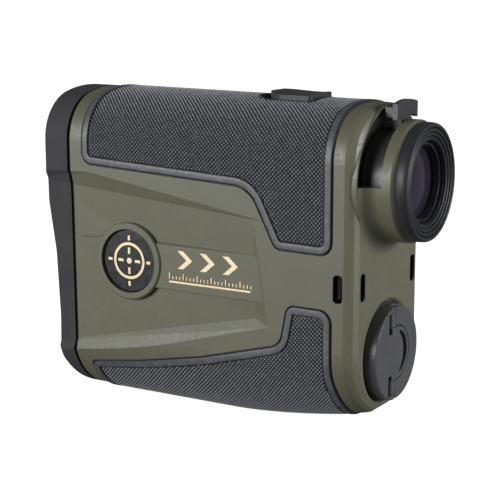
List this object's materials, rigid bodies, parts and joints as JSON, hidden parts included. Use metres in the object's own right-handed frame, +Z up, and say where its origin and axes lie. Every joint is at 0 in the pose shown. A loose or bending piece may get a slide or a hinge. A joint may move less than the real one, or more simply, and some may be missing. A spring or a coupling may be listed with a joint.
{
  "type": "laser rangefinder",
  "caption": "Pocket laser rangefinder with textured rubber grips, diopter lever, press buttons on top and a screw battery cap with a fold-out tab.",
  "frame": {"origin": "middle of the bounding box in plan, at the flat of the keel", "axes": "+X towards the eyepiece along the line of sight, +Z up, Y across the body"},
  "size_m": [0.098, 0.0364, 0.0794],
  "materials": {
    "olive_shell": "satin",
    "black_bezel": "satin",
    "grip_rubber": "matte",
    "gasket_rubber": "matte",
    "key_plastic": "satin",
    "badge_black": "gloss",
    "badge_gold": "satin",
    "inlay_gold": "satin",
    "eyecup_rubber": "matte",
    "dial_plastic": "satin",
    "slot_black": "matte",
    "cap_plastic": "satin",
    "lens_glass": "gloss",
    "prism_glass": "gloss",
    "black_alloy": "anodised",
    "bench_alloy": "anodised",
    "steel": "satin",
    "board_green": "satin",
    "chip_black": "satin",
    "sensor_can": "satin",
    "flex_amber": "gloss",
    "frame_black": "satin",
    "cell_sleeve": "gloss",
    "nickel": "satin"
  },
  "bodies": {
    "housing": {"main_housing": "olive_shell", "front_bezel": "black_bezel", "bezel_gasket": "gasket_rubber", "bezel_screws": "steel", "top_grip": "grip_rubber", "bottom_grip": "grip_rubber", "badge_left": "badge_black", "badge_right": "badge_black", "emblem_left": "badge_gold", "emblem_right": "badge_gold", "inlay_left": "inlay_gold", "inlay_right": "inlay_gold", "objective_barrel": "black_alloy", "objective_retainer": "black_alloy", "objective_crown": "lens_glass", "objective_flint": "lens_glass", "laser_barrel": "black_alloy", "laser_lens": "lens_glass", "laser_retainer": "black_alloy", "laser_diode": "sensor_can", "laser_board": "board_green", "roof_prism": "prism_glass", "half_prism": "prism_glass", "prism_holder": "frame_black", "photodiode": "sensor_can", "receiver_board": "board_green", "display_frame": "frame_black", "display_glass": "prism_glass", "display_flex": "flex_amber", "chassis": "bench_alloy", "chassis_screws": "steel", "main_board": "board_green", "board_chips": "chip_black", "board_screws": "steel", "ocular_key": "steel", "diopter_plate": "slot_black", "eyecup_sleeve": "black_alloy", "eyecup": "eyecup_rubber", "battery_tube": "frame_black", "battery_cell": "cell_sleeve", "contact_spring": "nickel", "key_frame": "frame_black", "key_board": "board_green", "measure_switch": "chip_black"},
    "diopter": {"diopter_ring": "dial_plastic"},
    "ocular": {"ocular_cell": "black_alloy", "field_lens": "lens_glass", "eye_lens": "lens_glass"},
    "measure_key": {"measure_button": "key_plastic", "measure_plunger": "key_plastic"},
    "cap_slider": {"cap_contact": "nickel"},
    "cap": {"battery_cap": "cap_plastic", "cap_seal": "gasket_rubber", "bail_pin": "steel"},
    "bail": {"cap_bail": "cap_plastic"}
  },
  "joints": [
    {"name": "diopter_turn", "type": "hinge", "parent": "housing", "child": "diopter", "pos_m": [0.041, 0, 0.05965], "axis": [1, 0, 0], "range_deg": [-50, 50]},
    {"name": "ocular_travel", "type": "slide", "parent": "housing", "child": "ocular", "axis": [1, 0, 0], "range_m": [-0.0012, 0.0012]},
    {"name": "measure_press", "type": "slide", "parent": "housing", "child": "measure_key", "axis": [0, 0, -1], "range_m": [0, 0.0006], "stiffness_N_per_m": 1500, "springref_m": -0.0006},
    {"name": "cap_travel", "type": "slide", "parent": "housing", "child": "cap_slider", "axis": [1, 0, 0], "range_m": [0, 0.003]},
    {"name": "cap_turn", "type": "hinge", "parent": "cap_slider", "child": "cap", "pos_m": [0.0395, 0, 0.01875], "axis": [1, 0, 0], "range_deg": [0, 720]},
    {"name": "bail_fold", "type": "hinge", "parent": "cap", "child": "bail", "pos_m": [0.0404, -0.00205, 0.01875], "axis": [0, 0, 1], "range_deg": [-90, 0]}
  ],
  "couplings": [
    {"joint": "diopter_turn", "follows": "ocular_travel", "rad_per_m": 727.22},
    {"joint": "cap_turn", "follows": "cap_travel", "rad_per_m": 4188.8}
  ]
}
